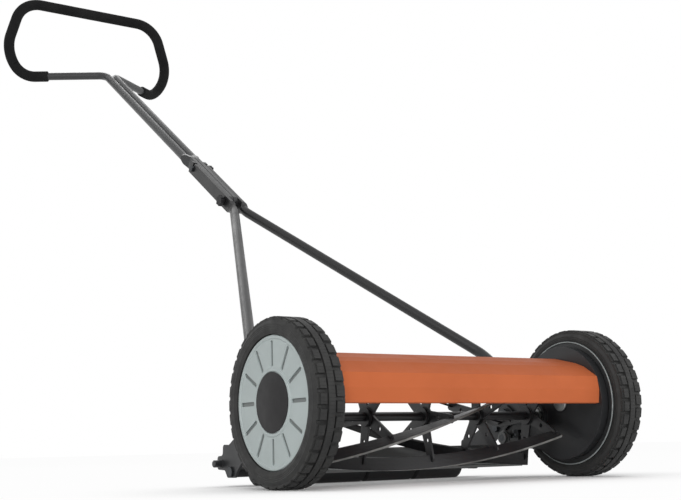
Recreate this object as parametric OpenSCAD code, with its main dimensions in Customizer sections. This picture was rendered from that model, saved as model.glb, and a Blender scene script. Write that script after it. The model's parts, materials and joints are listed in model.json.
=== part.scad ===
// Push reel mower: two geared wheels drive a helical reel against a fixed bed
// knife, under a creased deflector, with a segmented rear roller and a folding
// loop handle.
//
// Lengths are millimetres. X runs along the wheel axles, the mower faces -Y, the
// handle rises towards +Y and the ground is Z = 0. Until in_frame() moves it, each
// piece is drawn with Y = 0 through the wheel axles.

/* [Wheels] */
// Radius of the wheels over the tread
wheel_r = 105; // [104:0.5:112]
// Gap between a side plate and its wheel
wheel_gap = 10; // [8:0.5:14]
// Width of a tyre
tyre_w = 42; // [40:1:46]
// Height of the tyre over its rim
tyre_h = 22; // [19:0.25:22.5]
// Depth of the tread grooves
tread_depth = 3; // [1.5:0.25:5]
// Width of the plain rib in the middle of the tread
tread_rib_w = 9; // [6:0.5:12]
// Number of tread blocks on each shoulder
tread_blocks = 36; // [24:1:48]
// Distance from the rim in to the edge of the trim disc
disc_inset = 1; // [0.8:0.1:3]
// Number of slots in the trim disc
disc_slots = 12; // [6:1:18]
// Width of a trim disc slot
disc_slot_w = 5; // [2:0.5:6]
// Radius of the hub cap
cap_r = 37; // [34:0.5:42]
// Height of the hub cap's dome
cap_dome = 3; // [1:0.5:5]
// Radius of the wheel's hub
hub_r = 19; // [17:0.5:24]

/* [Axles] */
// Radius of a stub axle
axle_r = 8; // [7:0.25:10]
// Wall of a wheel bush
bush_wall = 4.5; // [3:0.25:6]

/* [Drive] */
// Gear module
gear_m = 2; // [1.85:0.05:2.1]
// Face width of a pinion
pinion_w = 12; // [8:0.5:13]
// Radius of the ratchet cup on a pinion
cup_r = 15; // [14:0.25:17]
// Depth of the ratchet cup
cup_depth = 12; // [10:0.5:13]
// Radius of the cup's bore inside its notches
ratchet_r = 9.5; // [8.5:0.25:10.5]
// Depth of a ratchet notch
notch_depth = 2; // [1:0.25:3]
// Thickness of a ratchet key
key_t = 3; // [2:0.25:4]
// Width of a ratchet key
key_w = 5; // [3:0.5:6]

/* [Reel] */
// Radius of the reel over the cutting edges
reel_r = 72; // [69:0.5:75]
// Length of the blades
reel_len = 392; // [340:1:440]
// Drop of the reel's axis below the wheel axles
reel_drop = 16.5; // [10:0.5:20]
// Number of blades
blade_count = 5; // [3:1:7]
// Depth of a blade
blade_w = 18; // [14:0.5:22]
// Thickness of a blade
blade_t = 3; // [2:0.25:4]
// Twist of the blades in degrees for each millimetre
blade_twist = 0.263; // [0.15:0.001:0.32]
// Radius of the reel shaft
shaft_r = 6; // [5:0.25:7]
// Thickness of a spider
spider_t = 3; // [2:0.25:5]
// Radius of a spider's hub
spider_hub_r = 13; // [11:0.5:16]
// Width of a spider's hub
spider_hub_w = 10; // [6:0.5:14]

/* [Side plates] */
// Distance from the ends of the blades to the side plates
reel_end = 20; // [18:0.5:30]
// Thickness of a side plate
plate_t = 4; // [3:0.25:6]
// Distance from the rim in to the edge of the round part that closes the wheel
plate_inset = 3; // [2.5:0.25:5]
// Gap between the side plate's lip and the wheel
lip_gap = 2; // [1:0.25:4]
// Wall of the lip
lip_t = 3; // [2:0.25:4]
// Radius of a reel bearing
bearing_r = 14; // [13:0.25:15]
// Width of a reel bearing
bearing_w = 8; // [6:0.5:9]
// Radius of the front tie rod
tie_r = 5; // [4:0.25:7]

/* [Deflector] */
// Thickness of the sheet
cover_t = 1.5; // [1:0.1:2.5]
// Height of the top edge over the wheel axles
cover_rise = 63.5; // [58:0.5:70]
// Drop of the bottom edge below the wheel axles
cover_drop = 3; // [-1:0.5:13]
// Reach of the front face ahead of the axles
cover_front = 76.5; // [74:0.5:84]

/* [Bed knife] */
// Angle of the cutting edge round the reel
knife_angle = -72; // [-78:0.5:-66]
// Running clearance between the reel and the bed knife
knife_gap = 0.3; // [0.1:0.05:0.6]
// Width of the bed knife
knife_w = 26; // [22:0.5:30]
// Thickness of the bed knife
knife_t = 3.5; // [2.5:0.25:5]
// Thickness of the throat plate behind it
throat_t = 3; // [2:0.25:5]

/* [Rear roller] */
// Radius of the rollers
roller_r = 20; // [17:0.5:24]
// Distance from the last roller to a roller arm
roller_end = 31.7; // [25:0.1:45]
// Distance of the roller shaft behind the wheel axles
roller_y = 197; // [190:1:210]
// Radius of the roller shaft
roller_shaft_r = 5; // [4:0.25:6]
// Thickness of a roller arm
arm_t = 4; // [3:0.25:4]
// Radius of the catcher rod
catcher_r = 5; // [4:0.25:6]
// Free length of the catcher rod's ends
catcher_end = 12; // [8:0.5:16]

/* [Handle] */
// Slope of the handle above the ground
handle_angle = 35.4; // [30:0.1:40]
// Radius of the handle tubes
tube_r = 8; // [7.5:0.25:9]
// Wall of the handle tubes
tube_wall = 1.2; // [0.8:0.1:2]
// Length along the handle from the pivot to the lower bend
low_bend = 104; // [95:1:120]
// Length along the handle from the pivot to the bend below the joint
joint_bend = 577; // [560:1:600]
// Distance from that bend to the fold bolt
bolt_reach = 41; // [38:1:60]
// Distance between the fold bolt and the lock bolt
bolt_pitch = 142; // [120:1:160]
// Length along the handle from the pivot to the top bend
top_bend = 1267; // [1100:1:1300]
// Radius of the bends in the stem
stem_bend_r = 30; // [24:1:40]
// Thickness of the flattened ends at the joint
flat_t = 6; // [5:0.25:7]
// Height of the flattened ends
flat_h = 22; // [18:0.5:24]
// Radius of the joint bolts
bolt_r = 3; // [2.5:0.25:4]

/* [Loop] */
// Distance of the loop behind the top bend
loop_back = 114; // [100:1:130]
// Rise of the loop's lower corners above the top bend
loop_rise = 5; // [0:1:20]
// Width between the lower corners
loop_low_w = 316; // [290:1:340]
// Greatest width
loop_mid_w = 388; // [370:1:420]
// Width between the upper corners
loop_top_w = 318; // [290:1:340]
// Height of the widest point above the lower corners
loop_mid_h = 57; // [50:1:70]
// Height of the top bar above the lower corners
loop_h = 172; // [160:1:200]
// Radius of the lower corners
loop_low_r = 50; // [40:1:55]
// Radius at the widest point
loop_mid_r = 80; // [60:1:90]
// Radius of the upper corners
loop_top_r = 58; // [45:1:62]
// Radius of the foam grip
grip_r = 11.5; // [10.5:0.25:14]
// Distance between the ends of the foam grip along X
grip_end_w = 220; // [200:1:240]

/* [Fits] */
// Radial clearance of a running fit
run_fit = 0.05; // [0.02:0.01:0.1]
// Clearance between faces that pass each other
face_gap = 0.3; // [0.2:0.05:0.5]
// Gap between pieces that are fixed to each other
seat_gap = 0.1; // [0.05:0.01:0.15]

/* [Hidden] */

// Radii that follow the tyre
rim_r = wheel_r - tyre_h;
disc_r = rim_r - disc_inset;
plate_r = rim_r - plate_inset;

// Widths along X, from the blades out to the tyres
plate_in = reel_len / 2 + reel_end;
plate_out = plate_in + plate_t;
tyre_in = plate_out + wheel_gap;
tyre_out = tyre_in + tyre_w;
lip_x1 = tyre_in - lip_gap;

// Rest of the wheel, measured from the tyre's outer face
disc_t = 3;
disc_sink = 3;
disc_x1 = tyre_out - disc_sink;
disc_x0 = disc_x1 - disc_t;
web_t = 4;
web_x0 = disc_x0 - web_t;
flange_t = 2.5;
flange_r = rim_r + 5;
rim_wall = 4;
bead_w = 1.5;
slot_r0 = cap_r + 9;
slot_r1 = disc_r - 9;
cap_skirt_r = cap_r - 7;
clip_t = 1.2;
clip_gap = 0.1;

// Side plates and the places of their fittings, in Y and Z
axle_boss = 8;
axle_boss_r = 15;
axle_head_r = 12;
axle_head_sink = 1.5;
hub_x0 = plate_out + axle_boss + face_gap;
axle_z = wheel_r;

// Gear train: the reel hangs behind and below the axles at the gears' distance
pinion_teeth = 12;
ring_teeth = 60;
gear_backlash = 0.35;
gear_distance = gear_m * (ring_teeth - pinion_teeth) / 2;
reel_y = sqrt(gear_distance * gear_distance - reel_drop * reel_drop);
reel_z = axle_z - reel_drop;
gear_angle = -asin(reel_drop / gear_distance);
ring_tip_r = gear_m * ring_teeth / 2 - 0.6 * gear_m;
ring_root_r = gear_m * ring_teeth / 2 + 1.1 * gear_m;
ring_wall = 4.5;
bearing_boss_r = bearing_r + 4;
bearing_boss = 3;
cup_x0 = plate_out + bearing_boss + face_gap;
cup_x1 = cup_x0 + cup_depth;
cup_floor = 1.7;
gear_x0 = cup_x1 + cup_floor + 1.5;
gear_x1 = gear_x0 + pinion_w;
key_x0 = cup_x0 + (cup_depth - key_w) / 2;
shaft_end = gear_x1 + face_gap + clip_t + 1.5;
bearing_x1 = plate_in + 1.3;
bearing_x0 = bearing_x1 - bearing_w;
ball_r = 2.2;
race_r = (bearing_r + shaft_r) / 2 + 1.25;

// Reel
spider_count = 5;
blade_phase = -174.85;
blade_r0 = reel_r - blade_w;
spider_r = blade_r0 + 9;
spider_w = 12;
spider_span = reel_len - spider_hub_w;

// Deflector outline, from the rear top edge to the bottom edge, in Y and Z
cover_top = axle_z + cover_rise;
cover_bottom = axle_z - cover_drop;
cover_line = [[11, cover_top - 3], [6, cover_top], [-34, cover_top - 9], [-50, cover_top - 15],
    [3 - cover_front, cover_top - 30], [-cover_front, (cover_top - 30 + cover_bottom) / 2],
    [2 - cover_front, cover_bottom], [7 - cover_front, cover_bottom - 1]];
cover_bolt_at = [[-12, cover_top - 13.5], [10.5 - cover_front, cover_top - 41.5]];
cover_bolt_r = 2.5;
tie_at = [-44, axle_z + 21];

// Bed knife
knife_relief = 8;
knife_dir = knife_angle + 90 - knife_relief;
knife_r = reel_r + knife_gap;
knife_edge = [reel_y + knife_r * cos(knife_angle), reel_z + knife_r * sin(knife_angle)];
throat_r = reel_r + 7;
bar_t = 2.5;
bar_s0 = 16;
bar_s1 = 31;
knife_pivot = [112, axle_z - 47];
knife_pin_r = 5;
lug_t = 5;
lug_x1 = plate_in - 7;
screw_y = 84;
screw_r = 4;
ear_top = knife_pivot[1] - 16;
tab_z = ear_top + 10;
tab_t = 5;
rivet_r = 2.5;
rivet_count = 7;

// Roller frame
roller_count = 4;
arm_x1 = plate_in - face_gap;
arm_x0 = arm_x1 - arm_t;
arm_pivot = [112, axle_z - 13];
arm_pin_r = 5;
clamp_at = arm_pivot + [23, -19.5];
clamp_r = 3;
clamp_swing = 8;
catcher_at = [roller_y + 27, roller_r + 11];
catcher_step = 1;
catcher_x0 = arm_x1 + 0.5;
roller_gap = 0.8;
roller_pitch = 2 * (arm_x0 - roller_end) / roller_count;
roller_chamfer = 3.5;

// Handle, drawn in its own plane: X across, Y up the slope from the pivot
pivot_at = [70, axle_z + 21.3];
pin_r = 6;
low_x = plate_in - 9;
low_flat_t = 3;
handle_stop_r = 4;
leg_x = tube_r + 1;
leg_flat_t = 8;
leg_flat_x = 0.6 + leg_flat_t / 2;
flat_x = leg_flat_x + leg_flat_t / 2 + face_gap + flat_t / 2;
fold_bolt = joint_bend + bolt_reach;
lock_bolt = fold_bolt + bolt_pitch;
flat_end = lock_bolt + 13;
seam_t = 0.05;
seam_w = 1;
fold_max = 125;
knob_r = 10;
knob_h = 9;
stem_at = [pivot_at[0] + top_bend * cos(handle_angle), pivot_at[1] + top_bend * sin(handle_angle)];
loop_y = stem_at[0] + loop_back;
loop_z = stem_at[1] + loop_rise;

// Stop stud that carries the handle at its working height
handle_stop = pivot_at + polar(28, handle_angle) + polar(9.5 + handle_stop_r + seat_gap, handle_angle - 90);

// The finished model stands with its bounding box centred on the origin
frame_y = (loop_y + grip_r - wheel_r) / 2;

$fn = 64;

// ---------------------------------------------------------------- helpers

function unit(v) = v / norm(v);
function polar(r, a) = [r * cos(a), r * sin(a)];
function arc_points(c, r, a0, a1, n) = [for (i = [0:n]) c + polar(r, a0 + (a1 - a0) * i / n)];

// Corner i of a closed outline, replaced by an arc of radius r
function corner(pts, i, r, n) =
    let (q = pts[i], m = len(pts), u = unit(pts[(i + m - 1) % m] - q),
        w = unit(pts[(i + 1) % m] - q), half = acos(u * w) / 2,
        c = q + unit(u + w) * r / sin(half), a = q + u * r / tan(half) - c,
        b = q + w * r / tan(half) - c, a0 = atan2(a[1], a[0]), turn = atan2(b[1], b[0]) - a0,
        sweep = turn > 180 ? turn - 360 : turn < -180 ? turn + 360 : turn)
    arc_points(c, r, a0, a0 + sweep, n);
function rounded(pts, r, n = 5) = [for (i = [0:len(pts) - 1]) each corner(pts, i, r, n)];

// A line moved sideways by d: each point shifts along the mean normal of its neighbours
function side_step(pts, i) =
    let (a = pts[max(i - 1, 0)], b = pts[min(i + 1, len(pts) - 1)], v = unit(b - a)) [-v[1], v[0]];
function band(pts, d) = concat(pts,
    [for (i = [len(pts) - 1:-1:0]) pts[i] + d * side_step(pts, i)]);

// Extrudes an outline in Y and Z along X
module along_x(x0, x1) {
    translate([x0, 0, 0]) rotate([90, 0, 90]) linear_extrude(x1 - x0) children();
}

// Turns a profile in radius and X about the X axis
module turned() {
    rotate([90, 0, 90]) rotate_extrude() children();
}

module rod_x(r, x0, x1, at = [0, 0]) {
    translate([x0, at[0], at[1]]) rotate([0, 90, 0]) cylinder(r = r, h = x1 - x0);
}

module at_axle() {
    translate([0, 0, axle_z]) children();
}

module at_reel() {
    translate([0, reel_y, reel_z]) children();
}

module left() {
    mirror([1, 0, 0]) children();
}

module both() {
    children();
    left() children();
}

module in_frame() {
    translate([0, -frame_y, 0]) children();
}

// Involute gear outline; grow widens each tooth at the pitch circle
function involute(a) = tan(a) * 180 / PI - a;
function flank(m, z, r, grow) =
    let (rp = m * z / 2, rb = rp * cos(20), a = r > rb ? acos(rb / r) : 0)
    90 / z + grow / (2 * rp) * 180 / PI + involute(20) - involute(a);
function gear_outline(m, z, r_root, r_tip, grow, steps = 3) = [
    for (i = [0:z - 1])
        let (c = 360 * i / z, r_base = max(r_root, m * z / 2 * cos(20)))
            each concat(
                [polar(r_root, c - flank(m, z, r_base, grow))],
                [for (k = [0:steps]) let (r = r_base + (r_tip - r_base) * k / steps)
                    polar(r, c - flank(m, z, r, grow))],
                [for (k = [steps:-1:0]) let (r = r_base + (r_tip - r_base) * k / steps)
                    polar(r, c + flank(m, z, r, grow))],
                [polar(r_root, c + flank(m, z, r_base, grow))])];

// A tube from a to b
module bar(a, b, r, r_in) {
    v = b - a;
    translate(a) rotate([0, acos(v[2] / norm(v)), atan2(v[1], v[0])]) difference() {
        cylinder(r = r, h = norm(v));
        translate([0, 0, -1]) cylinder(r = r_in, h = norm(v) + 2);
    }
}

// Distance from a corner to where its bend starts
function bend_reach(p, q, s, bend_r) = bend_r / tan(acos(unit(p - q) * unit(s - q)) / 2);

// A bend of a tube at corner q on the way from p to s
module bend(p, q, s, bend_r, r, r_in) {
    u = unit(p - q);
    w = unit(s - q);
    half = acos(u * w) / 2;
    c = q + unit(u + w) * bend_r / sin(half);
    i = unit(q + u * bend_r / tan(half) - c);
    k = cross(i, -u);
    multmatrix([[i[0], -u[0], k[0], c[0]], [i[1], -u[1], k[1], c[1]], [i[2], -u[2], k[2], c[2]]])
        rotate_extrude(angle = 180 - 2 * half) translate([bend_r, 0]) difference() {
            circle(r = r);
            circle(r = r_in);
        }
}

// A tube along the corners pts, with a bend radius for each inner corner; a seam ring
// closes the joint at each end of a bend
module run(pts, radii, r, r_in) {
    last = len(pts) - 1;
    cut = 0.1;
    reach = [for (i = [0:last]) i == 0 || i == last ? 0
        : bend_reach(pts[i - 1], pts[i], pts[i + 1], radii[i - 1])];
    for (i = [0:last - 1]) {
        u = unit(pts[i + 1] - pts[i]);
        p = pts[i] + u * reach[i];
        q = pts[i + 1] - u * reach[i + 1];
        bar(p + u * (i == 0 ? 0 : cut), q - u * (i == last - 1 ? 0 : cut), r, r_in);
        if (i > 0) bar(p - u * seam_w / 2, p + u * seam_w / 2, r + seam_t, r_in - seam_t);
        if (i < last - 1) bar(q - u * seam_w / 2, q + u * seam_w / 2, r + seam_t, r_in - seam_t);
    }
    for (i = [1:last - 1])
        bend(pts[i - 1], pts[i], pts[i + 1], radii[i - 1], r, r_in);
}

// ---------------------------------------------------------------- wheels

// Outline of a ring of tread blocks
function tread_outline(r_top, r_low) = [for (i = [0:tread_blocks - 1])
    let (a = 360 / tread_blocks, c = i * a)
        each [polar(r_low, c - a * 0.42), polar(r_top, c - a * 0.34),
            polar(r_top, c + a * 0.34), polar(r_low, c + a * 0.42)]];

module tread_row(x0, x1, r_top, turn) {
    along_x(x0, x1) rotate(turn) difference() {
        polygon(tread_outline(r_top, wheel_r - tread_depth - 0.6));
        circle(r = rim_r + 6);
    }
}

module tyre() {
    mid = (tyre_in + tyre_out) / 2;
    core_r = wheel_r - tread_depth;
    seat = rim_r + seat_gap;
    row_in = mid - tread_rib_w / 2 - 2.5;
    row_out = mid + tread_rib_w / 2 + 2.5;
    color("#303030") in_frame() at_axle() {
        turned() polygon([
            [seat, tyre_in + flange_t + seat_gap], [flange_r + seat_gap, tyre_in + flange_t + seat_gap],
            [flange_r + seat_gap, tyre_in + 1], [flange_r + 4, tyre_in], [wheel_r - 9, tyre_in],
            [core_r - 2, tyre_in + 2], [core_r, tyre_in + 6],
            [core_r, mid - tread_rib_w / 2], [wheel_r, mid - tread_rib_w / 2],
            [wheel_r, mid + tread_rib_w / 2], [core_r, mid + tread_rib_w / 2],
            [core_r, tyre_out - 6], [core_r - 2, tyre_out - 2], [wheel_r - 9, tyre_out],
            [seat + 5, tyre_out], [seat, tyre_out - 2]]);
        tread_row(row_out, tyre_out - 5, wheel_r, 0);
        tread_row(tyre_out - 5, tyre_out - 2, wheel_r - 1.5, 0);
        tread_row(tyre_in + 5, row_in, wheel_r, 180 / tread_blocks);
        tread_row(tyre_in + 2, tyre_in + 5, wheel_r - 1.5, 180 / tread_blocks);
    }
}

// Wheel moulding: rim with a beaded inner flange, web, hub and the ring gear that faces
// the side plate
module wheel() {
    bore = axle_r + bush_wall + seat_gap;
    color("#27282a") in_frame() at_axle() difference() {
        union() {
            turned() polygon([[rim_r - rim_wall, tyre_in], [flange_r - bead_w - 0.5, tyre_in],
                [flange_r - bead_w, tyre_in - bead_w + 0.3], [flange_r - bead_w + 0.3, tyre_in - bead_w],
                [flange_r - 0.3, tyre_in - bead_w], [flange_r, tyre_in - bead_w + 0.3],
                [flange_r, tyre_in + flange_t], [rim_r, tyre_in + flange_t],
                [rim_r, disc_x0], [rim_r - rim_wall, disc_x0]]);
            rod_x(rim_r - rim_wall / 2, web_x0, disc_x0);
            rod_x(ring_root_r + ring_wall, gear_x0 - 1, disc_x0);
            rod_x(hub_r, hub_x0, disc_x0);
        }
        difference() {
            rod_x(ring_root_r + 0.5, gear_x1 + 0.5, web_x0);
            rod_x(hub_r, gear_x1, web_x0);
        }
        difference() {
            along_x(gear_x0 - 2, gear_x1 + 1) rotate(gear_angle)
                polygon(gear_outline(gear_m, ring_teeth, ring_tip_r, ring_root_r,
                    gear_backlash));
            rod_x(hub_r, gear_x0 - 2, gear_x1 + 1);
        }
        rod_x(bore, hub_x0 - 1, web_x0);
        rod_x(bore + 2, web_x0, disc_x0 + 1);
    }
}

module trim_disc() {
    color("#b9c3c4") in_frame() at_axle() difference() {
        turned() polygon([[cap_skirt_r + seat_gap, disc_x0 + seat_gap], [disc_r, disc_x0 + seat_gap],
            [disc_r, disc_x1 - 0.8], [disc_r - 1, disc_x1], [disc_r - 4, disc_x1],
            [disc_r - 5, disc_x1 - 1], [cap_r + 5, disc_x1 - 1], [cap_r + 4, disc_x1],
            [cap_r + 1, disc_x1], [cap_r + 0.6, disc_x1 - 1],
            [cap_skirt_r + seat_gap, disc_x1 - 1]]);
        for (i = [0:disc_slots - 1])
            rotate([360 * i / disc_slots, 0, 0]) along_x(disc_x0 - 1, disc_x1 + 1) {
                translate([-disc_slot_w / 2, slot_r0]) square([disc_slot_w, slot_r1 - slot_r0]);
                for (r = [slot_r0, slot_r1]) translate([0, r]) circle(d = disc_slot_w);
            }
    }
}

module hub_cap() {
    seat = disc_x1 - 1 + seat_gap;
    wall = 1.6;
    dome = [for (i = [0:8]) let (t = i / 8)
        [cap_r * (1 - t), seat + 1 + cap_dome * sin(90 * t)]];
    inner = [for (i = [8:-1:0]) let (t = i / 8)
        [(cap_skirt_r - wall) * (1 - t), seat + 1 - wall + cap_dome * sin(90 * t)]];
    color("#333235") in_frame() at_axle() turned() polygon(concat([[cap_skirt_r, seat],
        [cap_r - 0.5, seat]], dome, inner, [[cap_skirt_r - wall, disc_x0 + seat_gap],
        [cap_skirt_r, disc_x0 + seat_gap]]));
}

module wheel_bush() {
    color("#d8d4c8") in_frame() at_axle() difference() {
        rod_x(axle_r + bush_wall, hub_x0, web_x0);
        rod_x(axle_r + run_fit, hub_x0 - 1, web_x0 + 1);
    }
}

// Pinion with a ratchet cup on its inner end
module pinion() {
    notches = 6;
    color("#8b8d8f") in_frame() at_reel() difference() {
        union() {
            along_x(cup_x1, gear_x1) rotate(gear_angle)
                polygon(gear_outline(gear_m, pinion_teeth, gear_m * (pinion_teeth / 2 - 1.05),
                    gear_m * (pinion_teeth / 2 + 0.85), -gear_backlash));
            rod_x(cup_r, cup_x0, cup_x1 + cup_floor);
        }
        rod_x(shaft_r + run_fit, cup_x0, gear_x1 + 1);
        rod_x(ratchet_r, cup_x0 - 1, cup_x1);
        along_x(cup_x0 - 1, cup_x1) for (i = [0:notches - 1]) rotate(360 * i / notches)
            polygon([[0, -key_t / 2 - 0.3], [ratchet_r + notch_depth, -key_t / 2 - 0.3],
                [ratchet_r + notch_depth, key_t / 2 + 0.3], [ratchet_r, key_t / 2 + 2.5],
                [0, key_t / 2 + 0.3]]);
    }
}

// ---------------------------------------------------------------- side plates

// Outline of a side plate: a round over the wheel, and a tail that carries the knife and roller
module plate_outline() {
    difference() {
        union() {
            translate([0, axle_z]) {
                circle(r = plate_r);
                polygon(rounded([[20, 63], [95, 45], [132, -1], [150, -39], [122, -57], [92, -63],
                    [45, -65], [5, -45]], 9));
            }
        }
        for (at = cover_bolt_at) translate(at) circle(r = cover_bolt_r + seat_gap);
        translate(knife_pivot) circle(r = knife_pin_r + seat_gap);
        translate(arm_pivot) circle(r = arm_pin_r + seat_gap);
        clamp_slot();
    }
}

// Arc slot that the clamp bolt of a roller arm moves in
module clamp_slot() {
    v = clamp_at - arm_pivot;
    a = atan2(v[1], v[0]);
    r = norm(v);
    w = clamp_r + face_gap;
    polygon(concat(arc_points(arm_pivot, r + w, a - clamp_swing, a + clamp_swing, 6),
        arc_points(arm_pivot, r - w, a + clamp_swing, a - clamp_swing, 6)));
    for (swing = [-clamp_swing, clamp_swing])
        translate(arm_pivot + polar(r, a + swing)) circle(r = w);
}

module side_plate() {
    tube_face = low_x + low_flat_t + face_gap;
    color("#26272a") in_frame() difference() {
        union() {
            along_x(plate_in, plate_out) plate_outline();
            at_axle() difference() {
                rod_x(plate_r, plate_in, lip_x1);
                rod_x(plate_r - lip_t, plate_in - 1, lip_x1 + 1);
            }
            at_axle() rod_x(axle_boss_r, plate_in, plate_out + axle_boss);
            at_reel() rod_x(bearing_boss_r, bearing_x0 - 1, plate_out + bearing_boss);
            rod_x(12, tube_face, plate_out, pivot_at);
            rod_x(handle_stop_r, low_x - low_flat_t, plate_out, handle_stop);
            along_x(lug_x1 - lug_t - 4, plate_out) translate([screw_y - 9, tab_z])
                square([18, tab_t]);
        }
        at_axle() rod_x(axle_r + seat_gap, plate_in - 1, plate_out + axle_boss + 1);
        at_axle() rod_x(axle_head_r + seat_gap, plate_in - 1, plate_in + axle_head_sink);
        at_reel() rod_x(bearing_r + seat_gap, bearing_x0 - 2, bearing_x1 + seat_gap);
        at_reel() rod_x(bearing_r - 5, bearing_x0, plate_out + bearing_boss + 1);
        rod_x(pin_r + seat_gap, tube_face - 1, plate_out + 1, pivot_at);
        rod_x(tie_r + seat_gap, plate_in - 1, plate_out + 1, tie_at);
        translate([lug_x1 - lug_t / 2, screw_y, tab_z - 1])
            cylinder(r = screw_r + seat_gap, h = tab_t + 2);
    }
}

module stub_axle() {
    groove_x = web_x0 + clip_gap + seat_gap;
    color("#8f9294") in_frame() at_axle() turned() polygon([[0, plate_in - 3],
        [axle_head_r - 1, plate_in - 3], [axle_head_r, plate_in - 2],
        [axle_head_r, plate_in + axle_head_sink - seat_gap],
        [axle_r, plate_in + axle_head_sink - seat_gap], [axle_r, groove_x],
        [axle_r - 1.5, groove_x], [axle_r - 1.5, groove_x + clip_t + seat_gap],
        [axle_r, groove_x + clip_t + seat_gap], [axle_r, disc_x0 - 1], [axle_r - 1, disc_x0],
        [0, disc_x0]]);
}

// Open retaining clip for a groove of radius r
module clip(r, out_r, x0) {
    difference() {
        rod_x(out_r, x0, x0 + clip_t);
        rod_x(r, x0 - 1, x0 + clip_t + 1);
        along_x(x0 - 1, x0 + clip_t + 1) translate([0, -r * 0.8]) square([out_r + 1, r * 1.6]);
    }
}

module axle_clips() {
    color("#8f9294") in_frame() at_axle() both()
        clip(axle_r - 1.5 + seat_gap, axle_r + bush_wall - 1, web_x0 + clip_gap + 1.5 * seat_gap);
}

module front_tie_rod() {
    x1 = plate_out + 9;
    color("#3a3b3e") in_frame() {
        rod_x(tie_r, -x1, x1, tie_at);
        both() rod_x(tie_r + 3, plate_in - 3 - seat_gap, plate_in - seat_gap, tie_at);
    }
}

// Hexagon nut or bolt head with its axis along X
module hex_x(r, x0, x1, at) {
    translate([x0, at[0], at[1]]) rotate([0, 90, 0]) cylinder(r = r, h = x1 - x0, $fn = 6);
}

module tie_rod_nuts() {
    color("#3f4144") in_frame() both() difference() {
        hex_x(9, plate_out + seat_gap, plate_out + 7, tie_at);
        rod_x(tie_r + seat_gap, plate_out - 1, plate_out + 8, tie_at);
    }
}

// Creased sheet over the reel, with a flange at each end that bolts inside a side plate
module front_cover() {
    x1 = plate_in - seat_gap;
    flange_w = 18;
    color("#c8733f") in_frame() difference() {
        union() {
            along_x(-x1, x1) polygon(band(cover_line, cover_t));
            both() along_x(x1 - cover_t, x1) polygon(band([for (i = [1:6]) cover_line[i]], flange_w));
        }
        for (at = cover_bolt_at) rod_x(cover_bolt_r + seat_gap, -x1 - 1, x1 + 1, at);
    }
}

module cover_bolts() {
    x0 = plate_in - cover_t - 2 * seat_gap;
    color("#3f4144") in_frame() both() for (at = cover_bolt_at) {
        rod_x(cover_bolt_r, x0 - 1, plate_out + 2, at);
        hex_x(cover_bolt_r + 2.5, x0 - 4, x0, at);
        hex_x(cover_bolt_r + 2.5, plate_out + seat_gap, plate_out + 4, at);
    }
}

// ---------------------------------------------------------------- reel

module bearing_outer_rings() {
    color("#9a9da0") in_frame() at_reel() both() turned() difference() {
        translate([race_r + 1.35, bearing_x0]) square([bearing_r - race_r - 1.35, bearing_w]);
        translate([race_r, (bearing_x0 + bearing_x1) / 2]) circle(r = ball_r + run_fit);
    }
}

module bearing_inner_rings() {
    color("#9a9da0") in_frame() at_reel() both() turned() difference() {
        translate([shaft_r + seat_gap, bearing_x0])
            square([race_r - 1.35 - shaft_r - seat_gap, bearing_w]);
        translate([race_r, (bearing_x0 + bearing_x1) / 2]) circle(r = ball_r + run_fit);
    }
}

module bearing_balls() {
    color("#c3c5c7") in_frame() at_reel() both() for (i = [0:7]) rotate([45 * i, 0, 0])
        translate([(bearing_x0 + bearing_x1) / 2, race_r, 0]) sphere(r = ball_r, $fn = 24);
}

module reel_shaft() {
    groove_x = gear_x1 + face_gap;
    color("#2b2c2f") in_frame() at_reel() difference() {
        rod_x(shaft_r, -shaft_end, shaft_end);
        both() {
            difference() {
                rod_x(shaft_r + 1, groove_x, groove_x + clip_t + 2 * seat_gap);
                rod_x(shaft_r - 1, groove_x - 1, groove_x + clip_t + 2 * seat_gap + 1);
            }
            translate([key_x0 - seat_gap, -shaft_r - 1, -key_t / 2 - seat_gap])
                cube([key_w + 2 * seat_gap, 2 * shaft_r + 2, key_t + 2 * seat_gap]);
        }
    }
}

module shaft_clips() {
    color("#8f9294") in_frame() at_reel() both()
        clip(shaft_r - 1 + seat_gap, shaft_r + 3.5, gear_x1 + face_gap + seat_gap);
}

// Drive keys that slide across the shaft: the left one is driving, the right one is released
module ratchet_keys() {
    half = ratchet_r - 0.25;
    throw = notch_depth - 0.2;
    color("#8f9294") in_frame() at_reel() {
        translate([key_x0, -half, -key_t / 2]) cube([key_w, 2 * half, key_t]);
        translate([-key_x0 - key_w, throw - half, -key_t / 2]) cube([key_w, 2 * half, key_t]);
    }
}

// Section of one blade in radius and tangent; the cutting edge is the outer corner of its face
module blade_section() {
    tip = sqrt(reel_r * reel_r - blade_t * blade_t / 4);
    polygon([[blade_r0, -blade_t / 2], [tip - 0.8, -blade_t / 2], [tip, blade_t / 2],
        [blade_r0, blade_t / 2]]);
}

module reel_blades() {
    color("#2b2c2f") in_frame() at_reel() for (i = [0:blade_count - 1])
        translate([-reel_len / 2, 0, 0]) rotate([90, 0, 90])
            linear_extrude(reel_len, twist = blade_twist * reel_len, slices = 26, $fn = 8)
                rotate(blade_phase + blade_twist * reel_len / 2 + 360 / blade_count * i)
                    blade_section();
}

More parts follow.
